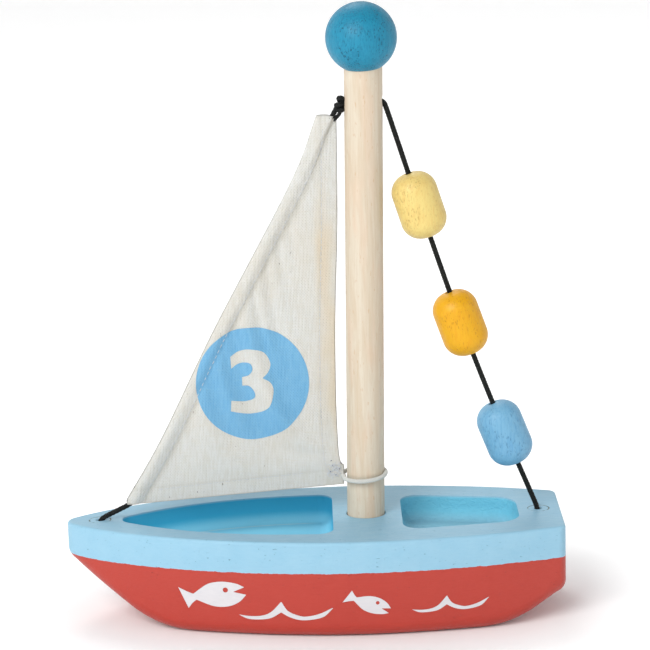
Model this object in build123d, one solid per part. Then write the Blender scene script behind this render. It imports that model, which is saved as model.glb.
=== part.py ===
"""Wooden toy sailing boat with a canvas sail and three sliding beads.

The boat is built in its own frame, in millimetres: +X points to the stern, +Z up, and the
origin is the middle of the hull's flat bottom. Each physical piece is one STEP file in parts/.
"""

import math
import os

from build123d import *

# ---- hull ----
HULL_LENGTH = 185.0
HULL_HEIGHT = 36.5
PAINT_LINE = 24.7  # height of the joint between the red lower and the blue upper board
BOW_RADIUS = 6.0  # stem, in plan
BOW_ANGLE = 42.0  # side's angle to the centreline behind the stem
STERN_ANGLE = -18.0  # side's angle to the centreline at the transom
STERN_HALF_WIDTH = 23.9
STERN_CORNER = 4.0
SIDE_POINTS = [(-60.0, 22.8), (-25.0, 33.1), (19.5, 37.5), (60.0, 32.8)]
BOTTOM_START, BOTTOM_END = -58.0, 71.5  # where the slopes would meet the flat bottom
STEM_FOOT = 24.2  # height where the bow's underside meets the stem
TRANSOM_FOOT = 12.5  # height where the stern's underside meets the transom
UNDERSIDE_BEND = 40.0  # radius from the flat bottom into both slopes
BOTTOM_EDGE = 5.5  # rounding of the lower outer edges
DECK_EDGE = 1.0  # easing of the deck's outer edge

# ---- cockpits: pockets in the upper board ----
COVE = 5.0
FORE_TIP, FORE_END, FORE_DEPTH = -72.0, 7.0, 10.0
FORE_TIP_RADIUS = 5.5
FORE_SIDE = [(-38.0, 20.2), (-15.0, 24.8)]
FORE_END_HALF, FORE_END_CORNER = 26.0, 6.0
AFT_START, AFT_END, AFT_DEPTH = 32.8, 76.5, 9.0
AFT_START_HALF, AFT_END_HALF = 23.0, 15.6
AFT_START_CORNER, AFT_END_CORNER = 6.5, 10.0

# ---- mast and ball; heights are above the deck, along the mast ----
MAST_X = 19.5
MAST_DIAMETER = 14.0
MAST_RAKE = 0.9  # degrees, towards the stern
MAST_TOP = 175.0  # end of the dowel, inside the ball
SOCKET_DIAMETER = 14.8
SOCKET_DEPTH = 22.0
MAST_LIFT = 0.3  # the raked foot's clearance over the socket's floor
BALL_DIAMETER = 26.0
BALL_CENTRE = 179.0
BALL_OFFSET = (-0.7, -1.2)  # the ball was bored a little off its middle
BORE_TOP = 175.3
CROSS_HOLE = 156.0
CROSS_HOLE_DIAMETER = 2.4
HOLE_MOUTH = 4.0  # across the hollow that rounds the hole's aft mouth

# ---- cord, plugs and knots; (x, z) pairs are from the mast's foot on the deck ----
CORD = 1.6
BOW_PLUG_X, STERN_PLUG_X = -80.3, 84.2
PLUG_DIAMETER, PLUG_LENGTH = 8.0, 6.0
PLUG_BORE, PLUG_COUNTERSINK = 2.4, 0.5
STOPPER = 5.0  # stopper knot, across
TACK = (-87.2, 5.6)
KNOT = (-6.9, 154.2)
BACKSTAY_START, BACKSTAY_EDGE = (-5.2, 155.9), (9.9, 155.7)

# ---- beads on the backstay ----
BEAD_LENGTH, BEAD_DIAMETER, BEAD_ROUND, BEAD_BORE = 24.6, 17.0, 7.0, 3.0
BEADS = {
    "bead_pale_yellow": (22.0, 116.8),
    "bead_orange": (36.5, 72.2),
    "bead_light_blue": (52.4, 29.7),
}

# ---- sail and the elastic loop round the mast ----
CANVAS = 0.7
SLEEVE_OUTER, SLEEVE_INNER = 2.9, 2.0  # hem that the forestay runs in, across
LEECH = [(-88.9, 7.2), (-75.4, 30.9), (-54.6, 71.7), (-24.6, 126.3), (-14.6, 150.7)]
LUFF = [(-7.6, 150.0), (-8.2, 112.0), (-9.9, 70.0), (-9.5, 33.0), (-8.0, 17.5)]
FOOT = [(-9.0, 13.4), (-41.0, 10.0), (-86.5, 5.0)]
ELASTIC, LOOP_GAP, LOOP_HEIGHT = 1.3, 0.15, 15.2
LOOP_TILT = (5.0, -4.0)  # degrees about X and Y


def at(place, y=0.0):
    """A point given as (x, z) from the mast's foot on the deck."""
    return Vector(MAST_X + place[0], y, HULL_HEIGHT + place[1])


def direction(angle):
    return (math.cos(math.radians(angle)), math.sin(math.radians(angle)))


def arc_radii(points, tight):
    """Each corner's arc: as large as its runs allow, or the one in tight, by corner."""
    radii = []
    for i in range(1, len(points) - 1):
        before, after = points[i] - points[i - 1], points[i + 1] - points[i]
        half_turn = math.radians(before.get_angle(after)) / 2
        widest = 0.45 * min(before.length, after.length) / math.tan(half_turn)
        radii.append(tight.get(i, widest))
    return radii


def tube(points, diameter, tight):
    """A round cord along straight runs joined by tangent arcs."""
    radii = arc_radii(points, tight)
    path = FilletPolyline(*points, radius=radii)
    solid = sweep(Plane(origin=path @ 0, z_dir=path % 0) * Circle(diameter / 2), path=path)
    share = solid.volume / (math.pi * diameter**2 / 4 * path.length)
    print(f"tube {path.length:.1f} mm long, {share:.4f} of section x length, radii", radii)
    return solid


# ---- hull ----
def hull_outline():
    """The deck's outline: a rounded stem, two bowed sides and a flat transom."""
    stem_x = -HULL_LENGTH / 2 + BOW_RADIUS
    lean = direction(90 + BOW_ANGLE)
    shoulder = (stem_x + BOW_RADIUS * lean[0], BOW_RADIUS * lean[1])
    corner = (HULL_LENGTH / 2, STERN_HALF_WIDTH)
    ends = [direction(BOW_ANGLE), direction(STERN_ANGLE)]
    side = Spline(shoulder, *SIDE_POINTS, corner, tangents=ends)
    stem = ThreePointArc(shoulder, (-HULL_LENGTH / 2, 0), (shoulder[0], -shoulder[1]))
    transom = Line(corner, (corner[0], -corner[1]))
    face = make_face([side, stem, mirror(side, about=Plane.XZ), transom])
    corners = [v for v in face.vertices() if v.X > HULL_LENGTH / 2 - 0.1]
    return fillet(corners, STERN_CORNER)


def hull_profile():
    """The hull from the side: a flat bottom between two slopes."""
    far = HULL_LENGTH
    bow_slope = STEM_FOOT / (HULL_LENGTH / 2 + BOTTOM_START)
    stern_slope = TRANSOM_FOOT / (HULL_LENGTH / 2 - BOTTOM_END)
    points = [
        (-far, far),
        (-far, (far + BOTTOM_START) * bow_slope),
        (BOTTOM_START, 0),
        (BOTTOM_END, 0),
        (far, (far - BOTTOM_END) * stern_slope),
        (far, far),
    ]
    face = make_face(Polyline(*points, close=True))
    bends = [v for v in face.vertices() if abs(v.Y) < 0.01]
    return Plane.XZ * fillet(bends, UNDERSIDE_BEND)


def hull_block():
    """The whole hull before its pockets are cut."""
    block = extrude(hull_outline(), HULL_HEIGHT) & extrude(hull_profile(), HULL_LENGTH, both=True)

    def is_lower_outer(edge):
        across = abs((edge % 0.5).Y) > 0.99 and abs(edge.center().X) < HULL_LENGTH / 2 - 1
        return max((edge @ 0).Z, (edge @ 1).Z) < HULL_HEIGHT - 1 and not across

    block = fillet([e for e in block.edges() if is_lower_outer(e)], BOTTOM_EDGE)
    deck = block.faces().sort_by(Axis.Z)[-1]
    return fillet(deck.edges(), DECK_EDGE)


def pocket(face, depth):
    """A cockpit's hollow, with a cove where its walls meet the floor."""
    hollow = extrude(Pos(0, 0, HULL_HEIGHT) * face, -depth)
    hollow = fillet(hollow.faces().sort_by(Axis.Z)[0].edges(), COVE)
    return hollow + extrude(Pos(0, 0, HULL_HEIGHT) * face, 2)


def fore_cockpit():
    """A long teardrop, pointed forward."""
    centre_x = FORE_TIP + FORE_TIP_RADIUS
    lean = direction(90 + 35)
    shoulder = (centre_x + FORE_TIP_RADIUS * lean[0], FORE_TIP_RADIUS * lean[1])
    corner = (FORE_END, FORE_END_HALF)
    side = Spline(shoulder, *FORE_SIDE, corner, tangents=[direction(35), direction(2)])
    tip = ThreePointArc(shoulder, (FORE_TIP, 0), (shoulder[0], -shoulder[1]))
    end = Line(corner, (corner[0], -corner[1]))
    face = make_face([side, tip, mirror(side, about=Plane.XZ), end])
    return fillet([v for v in face.vertices() if v.X > FORE_END - 0.1], FORE_END_CORNER)


def aft_cockpit():
    """A rounded trapezoid, narrower aft."""
    points = [
        (AFT_START, AFT_START_HALF),
        (AFT_END, AFT_END_HALF),
        (AFT_END, -AFT_END_HALF),
        (AFT_START, -AFT_START_HALF),
    ]
    face = make_face(Polyline(*points, close=True))
    face = fillet([v for v in face.vertices() if v.X < AFT_START + 1], AFT_START_CORNER)
    return fillet([v for v in face.vertices() if v.X > AFT_END - 1], AFT_END_CORNER)


def hull_boards():
    """The red lower board and the blue upper board, glued at the paint line."""
    block = hull_block()
    block -= pocket(fore_cockpit(), FORE_DEPTH)
    block -= pocket(aft_cockpit(), AFT_DEPTH)
    socket = Cylinder(SOCKET_DIAMETER / 2, SOCKET_DEPTH)
    block -= Pos(MAST_X, 0, HULL_HEIGHT - SOCKET_DEPTH / 2) * socket
    board = HULL_HEIGHT - PAINT_LINE
    for x in (BOW_PLUG_X, STERN_PLUG_X):
        block -= Pos(x, 0, PAINT_LINE + board / 2) * Cylinder(PLUG_DIAMETER / 2, board)
    halves = split(block, Plane.XY.offset(PAINT_LINE), keep=Keep.BOTH).solids()
    lower, upper = halves.sort_by(Axis.Z)
    return lower, upper


# ---- mast ----
def on_mast(shape):
    """Place a shape made about the Z axis, with the deck at 0, on the raked mast."""
    return Pos(MAST_X, 0, HULL_HEIGHT) * Rot(0, MAST_RAKE, 0) * shape


def mast():
    foot = MAST_LIFT - SOCKET_DEPTH
    length = MAST_TOP - foot
    dowel = Pos(0, 0, foot + length / 2) * Cylinder(MAST_DIAMETER / 2, length)
    hole = Rot(0, 90, 0) * Cylinder(CROSS_HOLE_DIAMETER / 2, 2 * MAST_DIAMETER)
    hole += Pos(MAST_DIAMETER / 2, 0, 0) * Sphere(HOLE_MOUTH / 2)
    return on_mast(dowel - Pos(0, 0, CROSS_HOLE) * hole)


def masthead_ball():
    """A ball with a blind hole as wide as the mast, glued on the mast's end."""
    ball = Pos(*BALL_OFFSET, BALL_CENTRE) * Sphere(BALL_DIAMETER / 2)
    bore = Pos(0, 0, BORE_TOP - BALL_DIAMETER / 2) * Cylinder(MAST_DIAMETER / 2, BALL_DIAMETER)
    return on_mast(ball - bore)


def clew_loop():
    """A ring of round elastic that holds the sail's lower corner to the mast."""
    radius = MAST_DIAMETER / 2 + LOOP_GAP + ELASTIC / 2
    ring = Rot(*LOOP_TILT, 0) * Torus(radius, ELASTIC / 2)
    return on_mast(Pos(0, 0, LOOP_HEIGHT) * ring)


# ---- cord ----
def plug(x):
    """A wooden plug, flush with the deck and drilled for the cord."""
    body = Cylinder(PLUG_DIAMETER / 2, PLUG_LENGTH) - Cylinder(PLUG_BORE / 2, PLUG_LENGTH)
    rim = body.faces().sort_by(Axis.Z)[-1].inner_wires()[0].edges()
    return Pos(x, 0, HULL_HEIGHT - PLUG_LENGTH / 2) * chamfer(rim, PLUG_COUNTERSINK)


def stopper_knot(x):
    """The cord's end, knotted in the pocket below a plug."""
    return Pos(x, 0, HULL_HEIGHT - PLUG_LENGTH - STOPPER / 2) * Sphere(STOPPER / 2)


def plug_bottom(x):
    return Vector(x, 0, HULL_HEIGHT - PLUG_LENGTH - 0.2)


def forestay_route():
    exit_point = Vector(BOW_PLUG_X, 0, HULL_HEIGHT + 0.5)
    return [plug_bottom(BOW_PLUG_X), exit_point, at(TACK), at(KNOT)]


FORESTAY_ARCS = {1: 1.8, 2: 8.0}


def backstay_route():
    exit_point = Vector(STERN_PLUG_X, 0, HULL_HEIGHT - 0.5)
    middles = [at(place) for place in BEADS.values()]
    start = [at(BACKSTAY_START), at(BACKSTAY_EDGE)]
    return [*start, *middles, exit_point, plug_bottom(STERN_PLUG_X)]


BACKSTAY_ARCS = {1: 1.6, 5: 2.5}


def masthead_knot():
    """An overhand knot beside the mast, with the bight that it leaves at the sail's head."""
    upper = Pos(0.3, -0.2, 1.3) * Rot(65, 20, 0) * Torus(1.1, CORD / 2)
    lower = Pos(-0.3, 0.2, -1.2) * Rot(60, -35, 0) * Torus(1.1, CORD / 2)
    knot = Pos(*at(KNOT)) * (upper + lower + Sphere(1.4))
    top, bottom = at(KNOT), at((KNOT[0] - 1.6, KNOT[1] - 8.5), 1.4)
    bight = Plane(origin=(top + bottom) / 2, z_dir=bottom - top)
    return knot + bight * Cylinder(CORD / 2, (bottom - top).length)


def bead(name):
    """A barrel bead, bored for the backstay and in line with it."""
    route = backstay_route()
    i = 2 + list(BEADS).index(name)
    along = (route[i - 1] - route[i]).normalized() + (route[i] - route[i + 1]).normalized()
    body = Cylinder(BEAD_DIAMETER / 2, BEAD_LENGTH)
    body = fillet(body.edges().filter_by(GeomType.CIRCLE), BEAD_ROUND)
    body -= Cylinder(BEAD_BORE / 2, BEAD_LENGTH)
    print(name, "centre", route[i], "axis", along.normalized())
    return Plane(origin=route[i], x_dir=(0, 1, 0), z_dir=along) * body


# ---- sail ----
def sail(loop):
    """A triangle of canvas with a sleeve along the forestay, sewn to the elastic loop."""
    upright = Plane(origin=(MAST_X, 0, HULL_HEIGHT), x_dir=(1, 0, 0), z_dir=(0, -1, 0))
    leech, luff, foot = Spline(*LEECH), Spline(*LUFF), Spline(*FOOT)
    corners = [Line(leech @ 1, luff @ 0), Line(luff @ 1, foot @ 0), Line(foot @ 1, leech @ 0)]
    face = upright * make_face([leech, luff, foot, *corners])
    sleeve = tube(forestay_route(), SLEEVE_OUTER, FORESTAY_ARCS)
    sleeve &= extrude(face, SLEEVE_OUTER, both=True)
    cloth = extrude(face, CANVAS / 2, both=True) + sleeve
    return cloth - tube(forestay_route(), SLEEVE_INNER, FORESTAY_ARCS) - loop


def pieces():
    lower_hull, upper_hull = hull_boards()
    loop = clew_loop()
    named = {
        "lower_hull": lower_hull,
        "upper_hull": upper_hull,
        "mast": mast(),
        "masthead_ball": masthead_ball(),
        "bow_plug": plug(BOW_PLUG_X),
        "stern_plug": plug(STERN_PLUG_X),
        "bow_stopper_knot": stopper_knot(BOW_PLUG_X),
        "stern_stopper_knot": stopper_knot(STERN_PLUG_X),
        "forestay_cord": tube(forestay_route(), CORD, FORESTAY_ARCS),
        "backstay_cord": tube(backstay_route(), CORD, BACKSTAY_ARCS),
        "masthead_knot": masthead_knot(),
        "clew_loop": loop,
        "sail": sail(loop),
    }
    for name in BEADS:
        named[name] = bead(name)
    return named


os.makedirs("parts", exist_ok=True)
for name, shape in pieces().items():
    export_step(shape, f"parts/{name}.step")
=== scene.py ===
"""Looks for the wooden toy sailing boat: paint, grain, cloth, cord and print, in metres.

+X points to the stern, +Z up, and the origin is the middle of the hull's flat bottom.
"""
import math

import bmesh
import bpy
import numpy as np
from mathutils import Matrix, Vector
from mathutils.bvhtree import BVHTree
from mathutils.geometry import tessellate_polygon


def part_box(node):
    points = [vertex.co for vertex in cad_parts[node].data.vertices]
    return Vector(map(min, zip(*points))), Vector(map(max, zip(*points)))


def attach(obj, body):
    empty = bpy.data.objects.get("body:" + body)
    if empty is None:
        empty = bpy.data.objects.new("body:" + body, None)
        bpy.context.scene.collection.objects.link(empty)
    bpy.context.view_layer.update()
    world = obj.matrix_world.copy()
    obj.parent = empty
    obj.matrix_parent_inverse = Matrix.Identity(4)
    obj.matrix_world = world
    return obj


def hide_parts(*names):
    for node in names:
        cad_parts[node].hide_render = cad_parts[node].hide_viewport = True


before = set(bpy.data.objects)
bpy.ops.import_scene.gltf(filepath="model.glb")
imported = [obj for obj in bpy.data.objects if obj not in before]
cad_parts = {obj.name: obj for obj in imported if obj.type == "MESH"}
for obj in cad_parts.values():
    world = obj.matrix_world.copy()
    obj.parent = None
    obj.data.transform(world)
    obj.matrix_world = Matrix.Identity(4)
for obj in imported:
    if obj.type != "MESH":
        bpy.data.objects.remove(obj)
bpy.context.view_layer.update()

MM = 0.001
MAST_FOOT = Vector((0.0195, 0, 0.0365))  # centre of the mast where it meets the deck
MAST_RAKE = math.radians(0.9)

# ---- camera ----
CAMERA_PLACE = (0.0017, -1.0123, 0.3382)
CAMERA_PITCH, CAMERA_YAW, CAMERA_ROLL = (math.radians(a) for a in (12.75, 0.24, 1.48))
CAMERA_LENS = 155.5

# ---- cord, as control points of its spline ----
CORD = 1.6 * MM
CARRIERS = 4  # strands that wind each way round its braid
FORESTAY = [
    (-0.0803, 0, 0.0303),
    (-0.0803, 0, 0.0352),
    (-0.0798, 0, 0.0371),
    (-0.0741, 0, 0.0398),
    (-0.0672, 0, 0.0431),
    (-0.0631, 0, 0.0505),
    (0.0126, 0, 0.1907),
]
BACKSTAY = [
    (0.0143, 0, 0.1924),
    (0.0247, 0, 0.1923),
    (0.0292, 0, 0.1922),
    (0.0303, 0, 0.1893),
    (0.0333, 0, 0.1797),
    (0.0415, 0, 0.1533),
    (0.0560, 0, 0.1087),
    (0.0719, 0, 0.0662),
    (0.0821, 0, 0.0413),
    (0.0842, 0, 0.0360),
    (0.0842, 0, 0.0303),
]
KNOT = Vector(FORESTAY[-1])
KNOT_TURNS = [  # in millimetres from KNOT: three close turns against the mast
    (1.8, 0.2, 1.7),
    (2.0, -1.2, 2.4),
    (1.3, -1.3, 3.0),
    (0.3, 0.0, 2.7),
    (0.8, 1.4, 1.6),
    (1.9, 0.7, 0.8),
    (1.7, -1.2, 0.6),
    (0.1, -1.5, 0.5),
    (-0.7, 0.0, 0.1),
    (0.5, 1.4, -0.5),
    (1.9, 0.6, -1.0),
    (1.7, -1.1, -1.5),
    (0.5, -1.2, -1.6),
    (-0.1, 0.1, -1.5),
]
TAIL = 0.72 * CORD  # pulled thin
KNOT_TAIL = [  # in millimetres from KNOT, down into the sail's corner
    (1.1, -0.4, -1.2),
    (0.9, -0.6, -2.4),
    (0.1, -0.5, -3.6),
    (-0.9, -0.1, -4.6),
    (-1.8, 0.5, -5.8),
]

# ---- elastic ----
ELASTIC = 1.3 * MM
LOOP_CARRIERS = 8
LOOP_RADIUS, LOOP_HEIGHT = 7.85 * MM, 15.7 * MM
LOOP_TILT = (math.radians(5.0), math.radians(-4.0))
LOOP_SLACK = 0.45 * MM  # it hangs a little clear of the mast's aft side

# ---- sail: (x, z) in millimetres from the mast's foot on the deck ----
LEECH = [(-89.4, 7.4), (-75.4, 30.9), (-54.6, 71.7), (-24.6, 126.3), (-14.6, 150.7)]
LUFF = [(-8.0, 11.6), (-8.0, 19.0), (-9.6, 24.6), (-9.8, 70.0), (-8.2, 112.0), (-7.6, 150.0)]
FOOT = [(-89.4, 7.4), (-86.0, 6.0), (-51.6, 8.4), (-26.9, 10.2), (-8.0, 11.6)]
CANVAS = 0.42  # millimetres
SEAM = 5.7  # from a hem's fold to its stitches
HEM = 7.2  # from a hem's fold to its raw edge
SLEEVE_LINE = [(-87.2, 5.6), (-6.9, 154.2)]  # the forestay's straight part
LEECH_SLANT = 0.88  # the cloth's rows cross the leech at a slant
STITCH, STITCH_PITCH, THREAD = 1.9, 2.3, 0.22
CLEW_DOTS = [(-8.9, 19.6), (-12.2, 18.9), (-9.6, 17.4), (-12.9, 16.4), (-10.9, 15.2), (-12.6, 20.7)]

# ---- prints ----
DISC_CENTRE, DISC_RADIUS = (-41.0, 51.2), 21.0
DISC_HALF_HEIGHT = 1.02 * DISC_RADIUS  # the disc is a little taller than wide
# each fish's middle, length, tilt in degrees and plumpness, then each wave's tip and length
FISH = [((-38.0, 15.7), 25.2, 6.0, 1.0), ((18.6, 13.4), 17.9, -18.0, -0.92)]
WAVES = [((-28.5, 8.7), 34.5), ((34.8, 10.2), 28.4)]
PRINT_LIFT = 0.10 * MM


def at(x, z, y=0.0):
    """A point given in millimetres from the mast's foot on the deck."""
    return MAST_FOOT + Vector((x, y, z)) * MM


# ---------------------------------------------------------------- node trees
class Graph:
    """A material's node tree, with its nodes made in one call each."""

    def __init__(self, name):
        self.material = bpy.data.materials.new(name)
        self.material.use_nodes = True
        self.tree = self.material.node_tree
        self.shader = self.tree.nodes["Principled BSDF"]
        self.place = self.add("ShaderNodeTexCoord").outputs["Object"]

    def add(self, kind, inputs=(), **settings):
        node = self.tree.nodes.new(kind)
        for key, value in settings.items():
            setattr(node, key, value)
        for key, value in dict(inputs).items():
            self.feed(node.inputs[key], value)
        return node

    def feed(self, socket, value):
        if isinstance(value, bpy.types.NodeSocket):
            self.tree.links.new(value, socket)
        else:
            socket.default_value = value

    def math(self, operation, *values, clamp=False):
        return self.add(
            "ShaderNodeMath", enumerate(values), operation=operation, use_clamp=clamp
        ).outputs[0]

    def mapped(self, scale, turn=(0, 0, 0)):
        """The object's coordinates, times scale; a scale of 1000 is in millimetres."""
        inputs = {"Vector": self.place, "Scale": scale, "Rotation": turn}
        return self.add("ShaderNodeMapping", inputs).outputs[0]

    def noise(self, vector, scale, detail=2.0, roughness=0.5, distortion=0.0):
        inputs = {
            "Vector": vector, "Scale": scale, "Detail": detail,
            "Roughness": roughness, "Distortion": distortion,
        }
        return self.add("ShaderNodeTexNoise", inputs).outputs["Fac"]

    def ramp(self, value, low, high, start=0.0, end=1.0):
        """A smooth step from start to end as value goes from low to high."""
        inputs = {0: value, 1: low, 2: high, 3: start, 4: end}
        return self.add("ShaderNodeMapRange", inputs, interpolation_type="SMOOTHSTEP").outputs[0]

    def mix(self, share, a, b):
        node = self.add("ShaderNodeMix", data_type="RGBA")
        for key, value in ((0, share), (6, a), (7, b)):
            self.feed(node.inputs[key], value)
        return node.outputs[2]

    def mix_value(self, share, a, b):
        """The same as mix, for numbers."""
        return self.add("ShaderNodeMix", {0: share, 2: a, 3: b}, data_type="FLOAT").outputs[0]

    def bump(self, height, distance, normal=None):
        """A bump of that height in metres."""
        node = self.add("ShaderNodeBump", {"Height": height, "Distance": distance})
        if normal is not None:
            self.feed(node.inputs["Normal"], normal)
        return node.outputs[0]

    def xyz(self):
        return self.add("ShaderNodeSeparateXYZ", {0: self.place}).outputs

    def finish(self, colour, roughness, normal, **sockets):
        self.feed(self.shader.inputs["Base Color"], colour)
        self.feed(self.shader.inputs["Roughness"], roughness)
        self.feed(self.shader.inputs["Normal"], normal)
        for key, value in sockets.items():
            self.shader.inputs[key.replace("_", " ")].default_value = value
        return self.material


STUDIO_LIGHT = 1.5  # how much brighter than its own colour the studio shows a matt surface


def rgb(r, g, b):
    """A linear colour from the one that a surface shows in the studio's full light.

    It runs from 0 to 255, or more for a surface that is seen only in shade.
    """
    def linear(c):
        return ((c / 255 + 0.055) / 1.055) ** 2.4 / STUDIO_LIGHT
    return (linear(r), linear(g), linear(b), 1.0)


# ---------------------------------------------------------------- materials
def paint_layers(g, colour, dark, grain, turn=(0, 0, 0), pores=0.5, patchy=0.5,
                 open_at=0.72, grainy=0.33, pore_tone=0.4):
    """Colour, roughness and normal of satin paint over wood whose grain runs along one axis.

    A lower open_at opens more pores, which are as dark as the dark colour times pore_tone, and
    grainy is how much the fibres show through.
    """
    mm = 1 / MM
    along = [mm * (0.10 if axis == grain else 1.0) for axis in "xyz"]
    streaks = g.noise(g.mapped(along, turn), 1.6, 3.0, 0.6)
    patches = g.noise(g.mapped((mm, mm, mm)), 0.15, 2.0)
    short = [mm * (0.33 if axis == grain else 1.0) for axis in "xyz"]
    pits = g.noise(g.mapped(short, turn), 2.1, 1.0, 0.4)
    pit = g.ramp(pits, open_at, open_at + 0.06)
    sparse = g.math("MULTIPLY", pit, g.ramp(patches, 0.40, 0.58, 0.25, 1.0))
    tone = g.math("MULTIPLY_ADD", g.math("SUBTRACT", streaks, 0.5), grainy, 0.15, clamp=True)
    tone = g.math("MULTIPLY_ADD", g.math("SUBTRACT", patches, 0.5), patchy, tone, clamp=True)
    shade = g.mix(tone, colour, dark)
    pore = [c * pore_tone for c in dark[:3]] + [1.0]
    shade = g.mix(g.math("MULTIPLY", sparse, pores), shade, pore)
    rough = g.ramp(streaks, 0.25, 0.8, 0.36, 0.52)
    grain_bump = g.bump(streaks, 0.00006)
    orange_peel = g.noise(g.mapped((mm, mm, mm)), 0.8, 2.0)
    peel = g.bump(orange_peel, 0.00010, grain_bump)
    normal = g.bump(g.math("SUBTRACT", 1.0, sparse), 0.00014, peel)
    return shade, rough, normal


def painted(name, colour, dark, turn, pores, open_at, pore_tone, **sockets):
    """Thin paint or stain on a small turned piece, with its fibres showing."""
    g = Graph(name)
    layers = paint_layers(g, colour, dark, "z", turn, pores, open_at=open_at, grainy=1.6,
                          pore_tone=pore_tone)
    return g.finish(*layers, **sockets)


RED, DARK_RED = rgb(206, 60, 42), rgb(184, 44, 30)
BLUE, DARK_BLUE = rgb(173, 221, 245), rgb(132, 198, 232)
PAINT_LINE = 24.7 * MM
DECK, COCKPIT_FLOOR, COCKPIT_ENDS = 36.5 * MM, 26.5 * MM, 78.0 * MM
# half the cockpits' width at the rim: its slope and its value at the middle of the hull
FORE_RIM, AFT_RIM, WIDEST_RIM = (0.351, 35.3 * MM), (-0.184, 36.1 * MM), 30.0 * MM


def above_line(g):
    """1 above the brushed line between the hull's two paints, 0 below."""
    wander = g.noise(g.mapped((280, 280, 280)), 1.0, 3.0, 0.7)
    height = g.math("MULTIPLY_ADD", wander, 0.9 * MM, g.xyz()[2])
    return g.ramp(height, PAINT_LINE + 0.42 * MM, PAINT_LINE + 0.50 * MM)


def hull_red():
    g = Graph("hull_red_paint")
    colour, rough, normal = paint_layers(g, RED, DARK_RED, "x", pores=0.35, patchy=0.3)
    colour = g.mix(above_line(g), colour, BLUE)
    return g.finish(colour, rough, normal, Coat_Weight=0.08, Coat_Roughness=0.3)


def in_cockpits(g):
    """1 on the cockpits' walls and floors, 0 elsewhere."""
    x, y, z = g.xyz()
    half = g.math("MINIMUM", g.math("MULTIPLY_ADD", x, *FORE_RIM), WIDEST_RIM)
    half = g.math("MINIMUM", half, g.math("MULTIPLY_ADD", x, *AFT_RIM))
    inside = g.ramp(g.math("SUBTRACT", half, g.math("ABSOLUTE", y)), 0.0, 0.4 * MM)
    below = g.ramp(z, DECK - 0.9 * MM, DECK - 0.1 * MM, 1.0, 0.0)
    between = g.ramp(g.math("ABSOLUTE", x), COCKPIT_ENDS, COCKPIT_ENDS + 1.5 * MM, 1.0, 0.0)
    return g.math("MULTIPLY", g.math("MULTIPLY", inside, below), between)


def plug_cracks(g):
    """1 in the broken crack round each plug, 0 elsewhere."""
    x, y, z = g.xyz()
    rings = []
    for plug in ("bow_plug", "stern_plug"):
        low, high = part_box(plug)
        middle, radius = (low + high) / 2, (high.x - low.x) / 2
        away = g.math("POWER", g.math("SUBTRACT", x, middle.x), 2.0)
        away = g.math("SQRT", g.math("ADD", away, g.math("POWER", y, 2.0)))
        gap = g.math("ABSOLUTE", g.math("SUBTRACT", away, radius))
        rings.append(g.ramp(gap, 0.14 * MM, 0.32 * MM, 1.0, 0.0))
    on_deck = g.ramp(z, DECK - 0.3 * MM, DECK - 0.1 * MM)
    broken = g.ramp(g.noise(g.mapped((1000, 1000, 1000)), 0.35, 3.0), 0.44, 0.56, 0.15, 1.0)
    return g.math("MULTIPLY", g.math("MAXIMUM", *rings), g.math("MULTIPLY", on_deck, broken))


def hull_blue():
    """Pale blue on the sides and deck, with painted shade in the cockpits, cracked round the plugs."""
    g = Graph("hull_blue_paint")
    colour, rough, normal = paint_layers(g, BLUE, DARK_BLUE, "x", pores=0.55, patchy=0.35)
    colour = g.mix(above_line(g), RED, colour)

    cockpit = in_cockpits(g)
    x, y, z = g.xyz()
    aft = g.ramp(x, 25.0 * MM, 30.0 * MM)
    # painted shade: the cockpits get a deeper blue than the deck, and their walls a darker one than
    # their floors, darkest on the fore cockpit's walls, which the sail shades
    shaded_wall = g.ramp(z, COCKPIT_FLOOR + 0.5 * MM, COCKPIT_FLOOR + 4.5 * MM)
    fore_shaded_colour = g.mix(shaded_wall, rgb(142, 232, 264), rgb(74, 200, 242))
    aft_shaded_colour = g.mix(shaded_wall, rgb(158, 222, 246), rgb(132, 222, 250))
    colour = g.mix(cockpit, colour, g.mix(aft, fore_shaded_colour, aft_shaded_colour))
    rough = g.mix_value(cockpit, rough, 0.68)

    # a painted highlight: the pale line on the ridge that the cutter left round the fore cockpit's floor
    ridge_highlight = g.ramp(z, COCKPIT_FLOOR + 0.002 * MM, COCKPIT_FLOOR + 0.010 * MM)
    ridge_highlight = g.math("MULTIPLY", ridge_highlight,
                  g.ramp(z, COCKPIT_FLOOR + 0.06 * MM, COCKPIT_FLOOR + 0.13 * MM, 1.0, 0.0))
    ridge_highlight = g.math("MULTIPLY", ridge_highlight, g.ramp(x, -6.0 * MM, 3.0 * MM, 0.5, 0.0))
    colour = g.mix(g.math("MULTIPLY", ridge_highlight, cockpit), colour, rgb(206, 240, 250))

    ripple = g.noise(g.mapped((550, 1000, 1000)), 0.8, 2.0, 0.5, 0.8)
    normal = g.bump(g.math("MULTIPLY", ripple, g.math("MULTIPLY", cockpit, aft)), 0.5 * MM, normal)

    crack = plug_cracks(g)
    colour = g.mix(g.math("MULTIPLY", crack, 0.95), colour, rgb(96, 108, 96))
    normal = g.bump(g.math("SUBTRACT", 1.0, crack), 0.2 * MM, normal)
    return g.finish(colour, rough, normal, Specular_IOR_Level=0.20)


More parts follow.
